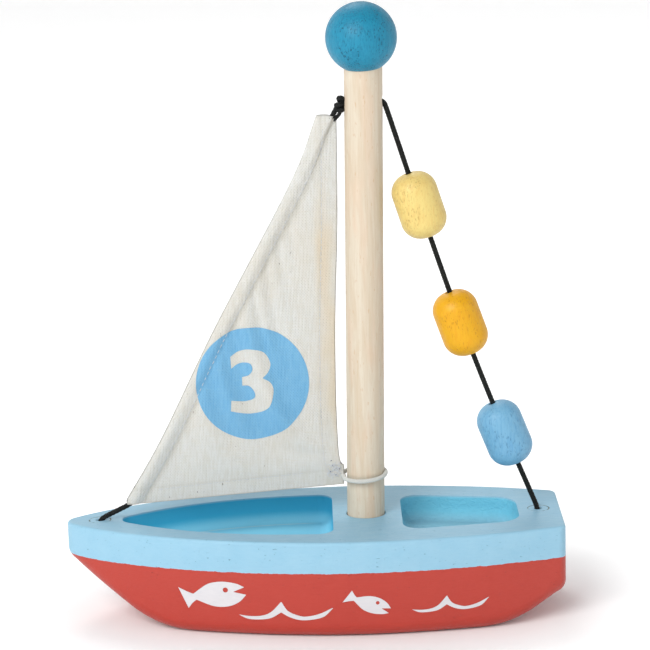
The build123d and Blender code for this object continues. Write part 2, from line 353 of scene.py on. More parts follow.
def bare_wood():
    """Pale dowel with straight grain, pinkish streaks and a few small flecks."""
    g = Graph("natural_wood")
    mm = 1 / MM
    lean = (0.030, 0.045, 0)  # the grain runs out a little
    bands = g.noise(g.mapped((mm, mm, mm * 0.055), lean), 0.55, 3.0, 0.6, 0.9)
    fibres = g.noise(g.mapped((mm, mm, mm * 0.07), lean), 2.8, 3.0, 0.65, 0.4)
    colour = g.mix(g.ramp(bands, 0.30, 0.70), rgb(240, 228, 207), rgb(230, 211, 184))
    blush = g.ramp(g.noise(g.mapped((mm, mm, mm * 0.16), lean), 0.22, 2.0), 0.50, 0.66)
    colour = g.mix(g.math("MULTIPLY", blush, 0.50), colour, rgb(240, 212, 184))
    colour = g.mix(g.math("MULTIPLY", g.ramp(fibres, 0.46, 0.76), 0.42), colour, rgb(222, 196, 164))
    pith = g.ramp(g.noise(g.mapped((mm, mm, mm * 0.28), lean), 1.2, 1.0), 0.68, 0.74)
    colour = g.mix(g.math("MULTIPLY", pith, 0.35), colour, rgb(216, 168, 124))
    normal = g.bump(fibres, 0.00006)
    return g.finish(colour, g.ramp(bands, 0.3, 0.7, 0.50, 0.62), normal)


def cord_black():
    """Polyester braid, greenish black, with a dull sheen along its threads."""
    g = Graph("black_cord")
    fibre = g.noise(g.mapped((1000, 1000, 1000)), 7.0, 2.0)
    colour = g.mix(fibre, rgb(5, 7, 6), rgb(18, 22, 20))
    return g.finish(colour, g.ramp(fibre, 0.2, 0.8, 0.50, 0.70), g.bump(fibre, 0.00004),
                    Sheen_Weight=0.02, Sheen_Roughness=0.4, Specular_IOR_Level=0.25)


def elastic_white():
    g = Graph("white_elastic")
    fibre = g.noise(g.mapped((1000, 1000, 1000)), 6.0, 2.0)
    colour = g.mix(fibre, rgb(246, 246, 240), rgb(222, 224, 218))
    return g.finish(colour, g.ramp(fibre, 0.2, 0.8, 0.6, 0.8), g.bump(fibre, 0.00004),
                    Sheen_Weight=0.3, Sheen_Roughness=0.5)


def thread(name, light, dark):
    g = Graph(name)
    fibre = g.noise(g.mapped((1000, 1000, 1000)), 9.0, 1.0)
    return g.finish(g.mix(fibre, light, dark), g.ramp(fibre, 0.2, 0.8, 0.5, 0.7),
                    g.bump(fibre, 0.00003), Sheen_Weight=0.2, Sheen_Roughness=0.4)


WARP, WEFT = 0.52 * MM, 0.56 * MM  # spacing of the canvas's threads


def weave(g):
    """(height, warp slubs, weft slubs) of a plain weave in the XZ plane."""
    x, y, z = g.xyz()
    drift = g.noise(g.mapped((400, 400, 60)), 1.0, 1.0)
    across = g.math("MULTIPLY_ADD", drift, 0.5, g.math("MULTIPLY", x, 1 / WARP))
    sway = g.noise(g.mapped((60, 400, 400)), 1.0, 1.0)
    up = g.math("MULTIPLY_ADD", sway, 0.5, g.math("MULTIPLY", z, 1 / WEFT))
    warp = g.math("ABSOLUTE", g.math("SINE", g.math("MULTIPLY", across, math.pi)))
    weft = g.math("ABSOLUTE", g.math("SINE", g.math("MULTIPLY", up, math.pi)))
    over = g.math("MULTIPLY", g.math("SINE", g.math("MULTIPLY", across, math.pi)),
                  g.math("SINE", g.math("MULTIPLY", up, math.pi)))
    height = g.math("MULTIPLY_ADD", over, 0.35, g.math("MULTIPLY", warp, weft))
    warp_slubs = g.noise(g.mapped((1900, 1000, 200)), 1.0, 2.0, 0.6)
    weft_slubs = g.noise(g.mapped((170, 1000, 1800)), 1.0, 2.0, 0.6)
    return height, warp_slubs, weft_slubs


def canvas():
    """Unbleached cotton: cream threads of uneven thickness, with a few dark flecks."""
    g = Graph("canvas")
    height, warp_slubs, weft_slubs = weave(g)
    colour = g.mix(g.ramp(warp_slubs, 0.35, 0.7), rgb(252, 253, 250), rgb(242, 241, 233))
    colour = g.mix(g.ramp(weft_slubs, 0.5, 0.75, 0.0, 0.5), colour, rgb(246, 241, 228))
    warm = g.ramp(g.noise(g.mapped((60, 60, 25)), 1.0, 2.0), 0.36, 0.62)
    x, y, z = g.xyz()
    luff_hem = g.ramp(x, 0.0015, 0.0050, 0.25, 1.0)
    luff_hem = g.math("MULTIPLY", luff_hem, g.ramp(z, 0.140, 0.170, 1.0, 0.25))
    luff_hem = g.math("MULTIPLY", luff_hem, g.ramp(z, 0.054, 0.068, 0.2, 1.0))
    colour = g.mix(g.math("MULTIPLY", warm, luff_hem), colour, rgb(250, 235, 210))
    # painted shade in the gaps between the threads
    thread_gap_shade = g.ramp(height, 0.0, 0.35, 0.36, 0.0)
    colour = g.mix(thread_gap_shade, colour, rgb(208, 208, 198))
    fleck = g.ramp(g.noise(g.mapped((900, 1000, 420)), 1.0, 1.0, 0.3), 0.775, 0.82)
    colour = g.mix(g.math("MULTIPLY", fleck, 0.7), colour, rgb(96, 84, 66))
    # painted shade along the seams and the folded edges, read from the mesh's seam attribute
    seam_shade = g.add("ShaderNodeAttribute", attribute_name="seam").outputs["Fac"]
    colour = g.mix(g.math("MULTIPLY", seam_shade, 0.30), colour, rgb(170, 162, 142))
    relief = g.math("MULTIPLY_ADD", warp_slubs, 0.5, height)
    return g.finish(colour, 0.9, g.bump(relief, 0.00016), Sheen_Weight=0.15,
                    Sheen_Roughness=0.5, Specular_IOR_Level=0.25)


def cloth_ink():
    """Blue ink in the canvas: the threads' relief shows, with pinholes where ink is thin."""
    g = Graph("sail_ink")
    height, warp_slubs, weft_slubs = weave(g)
    colour = g.mix(g.ramp(warp_slubs, 0.3, 0.75), rgb(142, 206, 246), rgb(124, 194, 240))
    colour = g.mix(g.ramp(weft_slubs, 0.55, 0.75, 0.0, 0.4), colour, rgb(156, 214, 246))
    # painted shade in the gaps between the threads
    thread_gap_shade = g.ramp(height, 0.0, 0.30, 0.30, 0.0)
    colour = g.mix(thread_gap_shade, colour, rgb(112, 168, 208))
    pinhole = g.ramp(g.noise(g.mapped((1900, 1000, 1900)), 1.0, 1.0), 0.76, 0.80)
    colour = g.mix(g.math("MULTIPLY", pinhole, 0.6), colour, rgb(214, 230, 238))
    relief = g.math("MULTIPLY_ADD", warp_slubs, 0.5, height)
    return g.finish(colour, 0.8, g.bump(relief, 0.00013), Specular_IOR_Level=0.3)


def hull_ink():
    """White pad print, thin enough for the grain to show."""
    g = Graph("hull_ink")
    grain = g.noise(g.mapped((120, 1000, 1000)), 1.6, 3.0)
    speck = g.ramp(g.noise(g.mapped((1000, 1000, 1000)), 1.9, 1.0), 0.74, 0.80)
    colour = g.mix(grain, rgb(246, 244, 246), rgb(232, 230, 236))
    colour = g.mix(g.math("MULTIPLY", speck, 0.4), colour, rgb(224, 168, 160))
    return g.finish(colour, 0.45, g.bump(grain, 0.00005))


def floor_white():
    """White paper that glows like a light table, but not close to the hull."""
    g = Graph("floor")
    tone = g.noise(g.mapped((6, 6, 6)), 1.0, 2.0)
    colour = g.mix(tone, (0.94, 0.94, 0.94, 1), (0.92, 0.92, 0.92, 1))
    x, y, z = g.xyz()
    away = g.math("ADD", g.math("POWER", g.math("MULTIPLY", x, 1 / 0.105), 2.0),
                  g.math("POWER", g.math("MULTIPLY", y, 1 / 0.060), 2.0))
    glow = g.ramp(g.math("SQRT", away), 0.6, 1.7, 0.0, 0.27)
    g.feed(g.shader.inputs["Emission Strength"], glow)
    return g.finish(colour, 0.9, g.bump(tone, 0.0001), Specular_IOR_Level=0.1,
                    Emission_Color=(1, 1, 1, 1))


# ---------------------------------------------------------------- meshes
def add_piece(name, vertices, faces, material):
    mesh = bpy.data.meshes.new(name)
    mesh.from_pydata([tuple(v) for v in vertices], [], [tuple(f) for f in faces])
    mesh.materials.append(material)
    mesh.polygons.foreach_set("use_smooth", [True] * len(mesh.polygons))
    piece = bpy.data.objects.new(name, mesh)
    bpy.context.scene.collection.objects.link(piece)
    return piece


def through(points, count):
    """Evenly spaced points on a smooth curve through the given ones (Catmull-Rom)."""
    p = np.array(points, float)
    p = np.vstack([2 * p[0] - p[1], p, 2 * p[-1] - p[-2]])
    line = []
    for i in range(1, len(p) - 2):
        for t in np.linspace(0, 1, 24, endpoint=i == len(p) - 3):
            a, b, c, d = p[i - 1], p[i], p[i + 1], p[i + 2]
            cubic = 2 * b + (c - a) * t + (2 * a - 5 * b + 4 * c - d) * t**2
            line.append(0.5 * (cubic + (3 * b - a - 3 * c + d) * t**3))
    line = np.array(line)
    run = np.r_[0, np.cumsum(np.linalg.norm(np.diff(line, axis=0), axis=1))]
    wanted = np.linspace(0, run[-1], count)
    return np.stack([np.interp(wanted, run, line[:, k]) for k in range(line.shape[1])], axis=1)


def spline_line(route, step):
    """Points every step along the NURBS spline that has the route as its control points."""
    curve = bpy.data.curves.new("route", "CURVE")
    curve.dimensions = "3D"
    curve.resolution_u = 32
    spline = curve.splines.new("NURBS")
    spline.points.add(len(route) - 1)
    for control, place in zip(spline.points, route):
        control.co = (*place, 1)
    spline.order_u = 3
    spline.use_endpoint_u = True
    holder = bpy.data.objects.new("route", curve)
    mesh = bpy.data.meshes.new_from_object(holder)
    line = np.array([v.co for v in mesh.vertices])
    bpy.data.objects.remove(holder)
    bpy.data.meshes.remove(mesh)
    run = np.r_[0, np.cumsum(np.linalg.norm(np.diff(line, axis=0), axis=1))]
    wanted = np.linspace(0, run[-1], max(4, round(run[-1] / step)))
    return np.stack([np.interp(wanted, run, line[:, k]) for k in range(3)], axis=1)


def frames_along(line):
    """Tangents and two normals along a line, turned as little as possible."""
    tangents = np.gradient(line, axis=0)
    tangents /= np.linalg.norm(tangents, axis=1)[:, None]
    normal = np.cross(tangents[0], (0.3, 1.0, 0.2))
    normals = []
    for t in tangents:
        normal = normal - t * (normal @ t)
        normal = normal / np.linalg.norm(normal)
        normals.append(normal)
    normals = np.array(normals)
    return tangents, normals, np.cross(tangents, normals)


def ribbed_tube(line, sides, across, out, centre_out=None):
    """Vertices and faces of one strand: rings of that many sides, closed at both ends.

    across and out are the half-widths along and off the surface that the strand lies on.
    """
    tangents, normals, binormals = frames_along(line)
    if centre_out is not None:
        normals = centre_out - tangents * np.sum(centre_out * tangents, axis=1)[:, None]
        normals /= np.linalg.norm(normals, axis=1)[:, None]
        binormals = np.cross(tangents, normals)
    turn = np.linspace(0, 2 * np.pi, sides, endpoint=False)
    rings = (
        line[:, None]
        + out * np.cos(turn)[None, :, None] * normals[:, None]
        + across * np.sin(turn)[None, :, None] * binormals[:, None]
    )
    count = len(line)
    faces = []
    for i in range(count - 1):
        for j in range(sides):
            a, b = i * sides + j, i * sides + (j + 1) % sides
            faces.append((a, b, b + sides, a + sides))
    faces.append(tuple(range(sides))[::-1])
    faces.append(tuple((count - 1) * sides + j for j in range(sides)))
    return rings.reshape(-1, 3), faces


def joined(parts):
    """One vertex list and face list from several."""
    vertices, faces, start = [], [], 0
    for some, theirs in parts:
        vertices.append(some)
        faces += [tuple(i + start for i in f) for f in theirs]
        start += len(some)
    return np.vstack(vertices), faces


def braid(name, line, diameter, carriers, material):
    """A round braid along a line: two sets of strands that wind opposite ways, over and under."""
    radius = diameter / 2 * 1.08  # the crowns of the strands stand out of the nominal size
    middle, lift = radius * 0.86, radius * 0.09
    pitch = 2 * np.pi * middle * 1.25
    run = np.r_[0, np.cumsum(np.linalg.norm(np.diff(line, axis=0), axis=1))]
    tangents, normals, binormals = frames_along(line)
    parts = [ribbed_tube(line, 10, middle * 0.94, middle * 0.94)]
    width = np.pi * middle / carriers * 0.72
    for way in (1, -1):
        height = middle + way * lift * np.cos(carriers * 2 * np.pi * run / pitch)
        for k in range(carriers):
            angle = 2 * np.pi * (way * run / pitch + k / carriers)
            out = np.cos(angle)[:, None] * normals + np.sin(angle)[:, None] * binormals
            strand = line + height[:, None] * out
            parts.append(ribbed_tube(strand, 6, width, radius * 0.24, out))
    return add_piece(name, *joined(parts), material)


def printed(name, outlines, surface, side, material, cell):
    """A print: the area inside the first outline and outside the others, laid on a surface.

    Outlines are (x, z) in metres. side is -1 for the near side of the object, 1 for the far one.
    """
    loops = [[Vector((x, z, 0)) for x, z in outline] for outline in outlines]
    flat = [point for loop in loops for point in loop]
    triangles = tessellate_polygon(loops)
    shape = bmesh.new()
    corners = [shape.verts.new((p.x, 0, p.y)) for p in flat]
    for triangle in triangles:
        shape.faces.new([corners[i] for i in triangle])
    low = Vector((min(p.x for p in flat), 0, min(p.y for p in flat)))
    high = Vector((max(p.x for p in flat), 0, max(p.y for p in flat)))
    for axis, normal in ((0, (1, 0, 0)), (2, (0, 0, 1))):
        for cut in np.arange(low[axis] + cell, high[axis], cell):
            place = [0, 0, 0]
            place[axis] = float(cut)
            everything = shape.verts[:] + shape.edges[:] + shape.faces[:]
            bmesh.ops.bisect_plane(shape, geom=everything, plane_co=place, plane_no=normal)
    bmesh.ops.triangulate(shape, faces=shape.faces[:])
    outside = 0.2 * side
    for vertex in shape.verts:
        start = Vector((vertex.co.x, outside, vertex.co.z))
        hit = surface.ray_cast(start, Vector((0, -side, 0)))[0]
        vertex.co = hit + Vector((0, side, 0)) * PRINT_LIFT
    mesh = bpy.data.meshes.new(name)
    shape.to_mesh(mesh)
    shape.free()
    mesh.materials.append(material)
    mesh.polygons.foreach_set("use_smooth", [True] * len(mesh.polygons))
    piece = bpy.data.objects.new(name, mesh)
    bpy.context.scene.collection.objects.link(piece)
    return piece


def tree_of(piece):
    """The piece's final surface, for laying things on."""
    graph = bpy.context.evaluated_depsgraph_get()
    return BVHTree.FromObject(piece, graph)


# ---------------------------------------------------------------- cord and knot
def cords(black):
    forestay_line = spline_line(FORESTAY, 0.35 * MM)
    backstay_line = spline_line(BACKSTAY, 0.35 * MM)
    forestay = braid("forestay", forestay_line, CORD, CARRIERS, black)
    backstay = braid("backstay", backstay_line, CORD, CARRIERS, black)

    turns = spline_line([KNOT + Vector(p) * MM for p in KNOT_TURNS], 0.25 * MM)
    tail = spline_line([KNOT + Vector(p) * MM for p in KNOT_TAIL], 0.25 * MM)
    knot = braid("knot_turns", turns, CORD, CARRIERS, black)
    bight = braid("knot_tail", tail, TAIL, CARRIERS, black)

    for piece in (forestay, backstay, knot, bight):
        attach(piece, "boat")
    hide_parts("forestay_cord")
    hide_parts("backstay_cord")
    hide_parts("masthead_knot")


def elastic_loop(white):
    """Covered elastic round the mast, with both ends drawn into the sail's lower corner."""
    tilt = Matrix.Rotation(MAST_RAKE, 3, "Y") @ Matrix.Rotation(LOOP_TILT[0], 3, "X")
    tilt = tilt @ Matrix.Rotation(LOOP_TILT[1], 3, "Y")
    middle = Vector((LOOP_SLACK, 0, LOOP_HEIGHT))
    first, turn, steps = math.radians(202), math.radians(328), 14  # it starts near the clew
    route = [at(-11.0, 14.8, 0.8), at(-7.6, 14.8, 0.9)]
    for k in range(steps + 1):
        angle = first + turn * k / steps
        ring = Vector((math.cos(angle), math.sin(angle), 0)) * (LOOP_RADIUS + LOOP_SLACK)
        route.append(MAST_FOOT + tilt @ (ring + middle))
    route += [at(-7.7, 15.4, 1.6), at(-11.0, 15.4, 1.1)]
    line = spline_line(route, 0.3 * MM)
    loop = braid("elastic_loop", line, ELASTIC, LOOP_CARRIERS, white)
    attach(loop, "boat")
    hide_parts("clew_loop")


# ---------------------------------------------------------------- sail
COLUMNS, ROWS = 49, 97
SIM_SCALE = 10.0  # the cloth is simulated ten times larger, where the solver is steadier
SIM_FRAMES = 40
FURTHEST = 2.2  # millimetres that the cloth may leave its plane


def flat_sail():
    """A grid in the sail's plane, in millimetres from the mast's foot, between its four edges."""
    leech, luff = through(LEECH, ROWS), through(LUFF, ROWS)
    foot = through(FOOT, COLUMNS)
    s, t = np.linspace(0, 1, COLUMNS), np.linspace(0, 1, ROWS)
    head = leech[-1] + s[:, None] * (luff[-1] - leech[-1])
    head[:, 1] += 0.5 * np.sin(np.pi * s)
    foot = foot + (1 - s)[:, None] * (leech[0] - foot[0]) + s[:, None] * (luff[0] - foot[-1])
    u, v = s[None, :, None], t[:, None, None]
    sides = (1 - u) * leech[:, None] + u * luff[:, None]
    ends = (1 - v) * foot[None] + v * head[None]
    corners = (
        (1 - u) * (1 - v) * foot[0] + u * (1 - v) * foot[-1]
        + (1 - u) * v * head[0] + u * v * head[-1]
    )
    return sides + ends - corners


def grid_faces(rows, columns):
    return [
        (r * columns + c, r * columns + c + 1, (r + 1) * columns + c + 1, (r + 1) * columns + c)
        for r in range(rows - 1)
        for c in range(columns - 1)
    ]


def hung_sail():
    """The sail's grid after the cloth has hung, as (rows, columns, 3) in millimetres."""
    flat = flat_sail()
    x, z = flat[..., 0], flat[..., 1]
    seed = 0.35 * np.sin(x / 6.1 + z / 17.0) + 0.25 * np.sin(z / 9.3 - x / 13.0)
    start = np.stack([x, seed, z], axis=-1)
    scale = MM * SIM_SCALE
    cloth = add_piece("sail_cloth", start.reshape(-1, 3) * scale, grid_faces(ROWS, COLUMNS), None)
    pins = cloth.vertex_groups.new(name="pins")
    index = np.arange(ROWS * COLUMNS).reshape(ROWS, COLUMNS)
    leech, clew, head, foot = index[:, :4], index[:8, -7:], index[-4:], index[:3]
    for held in (leech, clew, head, foot):
        pins.add([int(i) for i in held.ravel()], 1.0, "REPLACE")
    modifier = cloth.modifiers.new("cloth", "CLOTH")
    settings = modifier.settings
    settings.quality = 8
    settings.mass = 0.3
    settings.tension_stiffness = settings.compression_stiffness = 25
    settings.shear_stiffness = 8
    settings.bending_stiffness = 1.2
    settings.air_damping = 3
    settings.vertex_group_mass = "pins"
    settings.shrink_min = -0.011
    modifier.collision_settings.use_collision = False
    modifier.point_cache.frame_end = SIM_FRAMES
    for step in range(1, SIM_FRAMES + 1):
        bpy.context.scene.frame_set(step)
    graph = bpy.context.evaluated_depsgraph_get()
    result = cloth.evaluated_get(graph).to_mesh()
    places = np.array([v.co for v in result.vertices]).reshape(ROWS, COLUMNS, 3) / scale
    bpy.data.objects.remove(cloth)
    bpy.context.scene.frame_set(1)
    plane = np.stack([x, 0 * x, z], axis=-1)
    move = np.clip(places - plane, -FURTHEST, FURTHEST)
    move[..., [0, 2]] *= 0.5
    settled = smoothstep(np.arange(ROWS) / 26)[:, None, None]  # the stiff foot stays flat
    return plane + move * settled


def finer(grid, times):
    """The grid with that many more cells each way, on smooth curves through its points."""
    for _ in range(2):
        count = grid.shape[0]
        p = np.concatenate([2 * grid[:1] - grid[1:2], grid, 2 * grid[-1:] - grid[-2:-1]])
        rows = []
        for i in range(count - 1):
            a, b, c, d = p[i], p[i + 1], p[i + 2], p[i + 3]
            for t in np.arange(times) / times:
                cubic = 2 * b + (c - a) * t + (2 * a - 5 * b + 4 * c - d) * t**2
                rows.append(0.5 * (cubic + (3 * b - a - 3 * c + d) * t**3))
        rows.append(grid[-1])
        grid = np.transpose(np.array(rows), (1, 0, 2))
    return grid


def distance_to(points, line):
    """Each point's distance to a polyline in the sail's plane, and how far along that is."""
    flat = points.reshape(-1, 2)
    best, along = np.full(len(flat), 1e9), np.zeros(len(flat))
    run = 0.0
    for a, b in zip(line[:-1], line[1:]):
        step = b - a
        length = np.linalg.norm(step)
        t = np.clip((flat - a) @ step / length**2, 0, 1)
        d = np.linalg.norm(flat - a - t[:, None] * step, axis=1)
        closer = d < best
        best[closer], along[closer] = d[closer], (run + t * length)[closer]
        run += length
    return best.reshape(points.shape[:-1]), along.reshape(points.shape[:-1])


def smoothstep(value):
    value = np.clip(value, 0, 1)
    return value * value * (3 - 2 * value)


def sleeve_height(edge, cord):
    """Half the sleeve's thickness at a distance from the fold, with the cord that far in."""
    left = np.sqrt(np.clip(1 - (1 - np.clip(edge / cord, 0, 1)) ** 2, 0, 1))
    right = 1 - smoothstep((edge - cord) / np.maximum(SEAM - cord, 1.6))
    return np.where(edge < cord, 0.15 + 1.35 * left, 0.25 + 1.25 * right)


def sail_surface():
    """The hung cloth in millimetres, how deep the cord lies in its sleeve, and the shade painted along
    its seams and folded edges.
    """
    grid = finer(hung_sail(), 2)
    plane = grid[..., [0, 2]]
    leech = plane[:, 0]
    luff, foot = plane[:, -1], plane[0]
    edge, along = distance_to(plane, leech)
    tack, knot = np.array(SLEEVE_LINE)
    way = (knot - tack) / np.linalg.norm(knot - tack)
    offset = leech - tack
    cord = np.abs(offset[:, 0] * way[1] - offset[:, 1] * way[0])
    cord = np.clip(np.interp(along, np.linspace(0, along.max(), len(cord)), cord), 1.2, 5.4)
    grid[..., 1] *= smoothstep((edge - 1.5) / 7.0)  # the sleeve follows the cord
    sleeve = sleeve_height(edge, cord)
    pucker = 0.10 * np.sin(2 * np.pi * along / STITCH_PITCH) * np.exp(-(((edge - SEAM) / 1.3) ** 2))
    groove = 0.16 * np.exp(-(((edge - SEAM) / 0.6) ** 2))
    fade = 1 - smoothstep((edge - SEAM) / 2.5)
    grid[..., 1] -= (sleeve - 0.25) * fade + pucker - groove
    # painted shade along the sleeve's stitches; the loop below adds it along the hems' stitches and at
    # the folded edges
    seam_shade = np.exp(-(((edge - SEAM - 0.2) / 0.8) ** 2))
    for line in (luff, foot):
        near, run = distance_to(plane, line)
        ripple = 0.06 * np.sin(2 * np.pi * run / 5.2) * np.exp(-(((near - SEAM) / 1.6) ** 2))
        grid[..., 1] += 0.12 * np.exp(-(((near - SEAM) / 0.5) ** 2)) + ripple
        seam_shade = np.maximum(seam_shade, 0.45 * np.exp(-(((near - SEAM) / 0.45) ** 2)))
        seam_shade = np.maximum(seam_shade, 0.60 * np.exp(-((near / 0.4) ** 2)))
    return grid, cord, seam_shade


def inwards(grid, distance, skew=1.0):
    """The grid's points at a distance from its first column, measured along each row."""
    run = np.linalg.norm(np.diff(grid, axis=1), axis=2).cumsum(axis=1)
    run = np.concatenate([np.zeros((len(grid), 1)), run], axis=1)
    points = []
    for places, lengths in zip(grid, run):
        wanted = min(distance / skew, lengths[-1] * 0.92)
        points.append([np.interp(wanted, lengths, places[:, k]) for k in range(3)])
    return np.array(points)


class Sheet:
    """The cloth's vertices and faces in millimetres, with the strips turned back at its edges."""

    def __init__(self, grid, seam_shade):
        rows, columns = grid.shape[:2]
        self.count = rows * columns
        self.index = np.arange(self.count).reshape(rows, columns)
        self.vertices = [grid.reshape(-1, 3)]
        self.faces = grid_faces(rows, columns)
        self.seam_shade = [seam_shade.ravel()]

    def turn_back(self, rim, strips, depth):
        """Join strips to the rim's vertices, that deep behind the near face."""
        strips = np.array(strips)
        strips[..., 1] += depth
        rows, across = strips.shape[:2]
        ids = np.vstack([rim, self.count + np.arange(rows * across).reshape(rows, across)])
        for a, b in zip(ids[:-1], ids[1:]):
            for j in range(across - 1):
                self.faces.append((int(a[j]), int(a[j + 1]), int(b[j + 1]), int(b[j])))
        self.vertices.append(strips.reshape(-1, 3))
        self.seam_shade.append(np.zeros(rows * across))
        self.count += rows * across


def sewn_sail(grid, cord, seam_shade, cloth):
    """The sail as one mesh: the hung cloth with its sleeve and its two hems turned back."""
    sheet = Sheet(grid, seam_shade)
    turned = np.array([0.06, 0.25, 0.7, 1.3, 2.0, 3.0, 4.0, 5.0, SEAM, 6.4, HEM])

    depth = np.array([2 * sleeve_height(np.full(len(grid), d), cord[:, 0]) for d in turned])
    depth *= (1 - 0.55 * smoothstep((turned - SEAM + 1.5) / 1.5))[:, None]
    strips = [inwards(grid, d, LEECH_SLANT)[::-1] for d in turned]
    sheet.turn_back(sheet.index[::-1, 0], strips, depth[:, ::-1])

    depth = 0.95 * np.sqrt(np.clip(1 - (1 - np.clip(turned / 0.8, 0, 1)) ** 2, 0, 1))
    depth -= 0.38 * smoothstep((turned - 3.5) / 2.2)
    strips = [inwards(grid[:, ::-1], d) for d in turned]
    sheet.turn_back(sheet.index[:, -1], strips, depth[:, None])
    strips = [inwards(np.transpose(grid, (1, 0, 2)), d) for d in turned]
    sheet.turn_back(sheet.index[0], strips, 1.25 * depth[:, None])

    places = np.vstack(sheet.vertices) * MM + np.array(MAST_FOOT)
    piece = add_piece("canvas_sail", places, sheet.faces, cloth)
    shade = piece.data.attributes.new("seam", "FLOAT", "POINT")
    shade.data.foreach_set("value", np.concatenate(sheet.seam_shade).astype(np.float32))
    solid = piece.modifiers.new("thickness", "SOLIDIFY")
    solid.thickness = CANVAS * MM
    solid.offset = 0.0
    graph = bpy.context.evaluated_depsgraph_get()
    piece.data = bpy.data.meshes.new_from_object(piece.evaluated_get(graph))
    piece.modifiers.clear()
    return piece


def sail(cloth, white, dark, ink):
    """The sail, its stitches and its print."""
    grid, cord, seam_shade = sail_surface()
    piece = sewn_sail(grid, cord, seam_shade, cloth)
    surface = tree_of(piece)
    seams = [  # each stops where another hem covers it
        inwards(grid, SEAM, LEECH_SLANT)[3:-10],
        inwards(grid[:, ::-1], SEAM)[10:-6],
        inwards(np.transpose(grid, (1, 0, 2)), SEAM)[12:-16],
    ]
    stitching = stitches(seams, surface, white)
    patch = clew_tack(surface, white)
    dots = clew_dots(surface, dark)
    disc = printed("sail_print", sail_print_outlines(), surface, -1, ink, 0.6 * MM)
    for part in (piece, stitching, patch, dots, disc):
        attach(part, "boat")
    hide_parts("sail")


def near_face(surface, x, z):
    """The point of the cloth's near face at a place in its plane, or None past its edge."""
    return surface.ray_cast(Vector((x, -0.05, z)), Vector((0, 1, 0)))[0]


def stitches(lines, surface, material):
    """Lockstitch along each line: thread that arches out of the cloth and dips back in."""
    parts = []
    for line in lines:
        run = np.r_[0, np.cumsum(np.linalg.norm(np.diff(line, axis=0), axis=1))]
        for n, begin in enumerate(np.arange(0.4, run[-1] - STITCH, STITCH_PITCH)):
            share = np.linspace(0, 1, 7)
            wanted = begin + share * STITCH
            places = np.stack([np.interp(wanted, run, line[:, k]) for k in range(3)], axis=1)
            places[:, 0] += 0.06 * math.sin(2.3 * n)
            places = places * MM + np.array(MAST_FOOT)
            for place, s in zip(places, share):
                hit = near_face(surface, place[0], place[2])
                place[1] = hit.y + THREAD * MM * (0.55 - 1.3 * math.sin(math.pi * s))
            parts.append(ribbed_tube(places, 6, THREAD / 2 * MM, THREAD / 2 * MM))
    return add_piece("sail_stitching", *joined(parts), material)


def clew_tack(surface, material):
    """Close zigzag stitches that hold the elastic in the sail's lower corner."""
    parts = []
    random = np.random.default_rng(7)
    for k in range(46):
        across = random.uniform(-4.2, 1.6)
        up = random.uniform(-1.6, 5.2)
        lean = random.normal(0.9 if k % 2 else -0.5, 0.35)
        length = random.uniform(1.3, 2.3)
        middle = np.array((-10.6 + across * 0.75, 15.6 + up * 0.8 + 0.12 * across))
        step = np.array((math.cos(lean), math.sin(lean))) * length / 2
        share = np.linspace(0, 1, 6)
        places = [at(*(middle + step * (2 * s - 1))) for s in share]
        hits = [near_face(surface, place.x, place.z) for place in places]
        if None in hits:
            continue
        for hit, s in zip(hits, share):
            hit.y -= THREAD * MM * (1.4 * math.sin(math.pi * s) - 0.4)
        parts.append(ribbed_tube(np.array(hits), 6, THREAD * 0.6 * MM, THREAD * 0.6 * MM))
    return add_piece("clew_stitching", *joined(parts), material)


def clew_dots(surface, material):
    """Ends of dark bobbin thread that show between the clew's stitches."""
    parts = []
    bend = np.array([(-0.2, -0.05, -0.1), (0, -0.35, 0), (0.2, -0.05, 0.15)]) * MM
    for x, z in CLEW_DOTS:
        place = at(x, z)
        hit = near_face(surface, place.x, place.z)
        if hit is not None:
            parts.append(ribbed_tube(np.array(hit) + bend, 6, 0.13 * MM, 0.13 * MM))
    return add_piece("clew_thread_ends", *joined(parts), material)


# ---------------------------------------------------------------- prints
def smooth_outline(*stretches):
    """One closed outline from smooth stretches that meet at corners."""
    points = []
    for stretch in stretches:
        count = 2 if len(stretch) == 2 else 10 * len(stretch)
        points += [tuple(p) for p in through(stretch, count)[:-1]]
    return points


def digit_three():
    """A bold 3 with flat ends, in millimetres from its disc's centre."""
    return smooth_outline(
        [(-8.0, 10.2), (-4.6, 12.4), (-0.4, 13.2), (4.4, 11.8), (6.8, 7.6), (6.0, 4.4), (3.8, 2.2)],
        [(3.8, 2.2), (6.7, 0.2), (7.7, -3.4), (5.6, -9.4), (-0.6, -11.8), (-8.4, -10.4)],
        [(-8.4, -10.4), (-8.1, -6.3)],
        [(-8.1, -6.3), (-3.2, -7.0), (0.2, -6.0), (0.8, -3.9), (-1.0, -1.3), (-3.9, -1.0)],
        [(-3.9, -1.0), (-3.9, 2.2)],
        [(-3.9, 2.2), (-1.3, 3.2), (0.1, 5.4), (-0.6, 7.6), (-3.0, 8.0), (-5.6, 7.2), (-7.8, 5.6)],
        [(-7.8, 5.6), (-8.0, 10.2)],
    )


def sail_print_outlines():
    turns = np.linspace(0, 2 * np.pi, 120, endpoint=False)
    disc = [(DISC_RADIUS * math.cos(a), DISC_HALF_HEIGHT * math.sin(a)) for a in turns]
    outlines = []
    for outline in (disc, digit_three()):
        places = [at(DISC_CENTRE[0] + x, DISC_CENTRE[1] + z) for x, z in outline]
        outlines.append([(p.x, p.z) for p in places])
    return outlines


